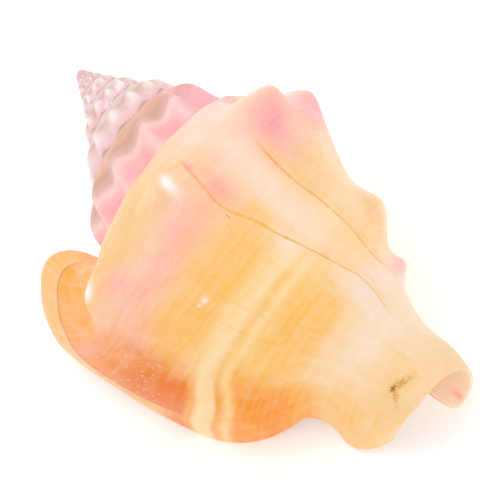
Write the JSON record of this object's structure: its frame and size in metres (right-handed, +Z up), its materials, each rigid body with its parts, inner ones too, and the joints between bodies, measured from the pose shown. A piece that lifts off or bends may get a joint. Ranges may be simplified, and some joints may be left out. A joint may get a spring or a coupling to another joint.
{
  "type": "conch shell",
  "caption": "Large sea snail shell with a pointed knobbed spire, a wide flared lip, a long opening and a short open canal, resting on its opening.",
  "frame": {"origin": "centre of the bounding box, on the surface that the shell rests on", "axes": "+X along the shell from the spire's tip to the canal, +Y away from the flared lip, +Z up from the rest surface through the back of the shell"},
  "size_m": [0.1848, 0.127, 0.1015],
  "materials": {
    "shell_lime": "polished natural shell, cream and orange with pink knobs"
  },
  "bodies": {
    "root": {"shell": "shell_lime"}
  },
  "joints": []
}
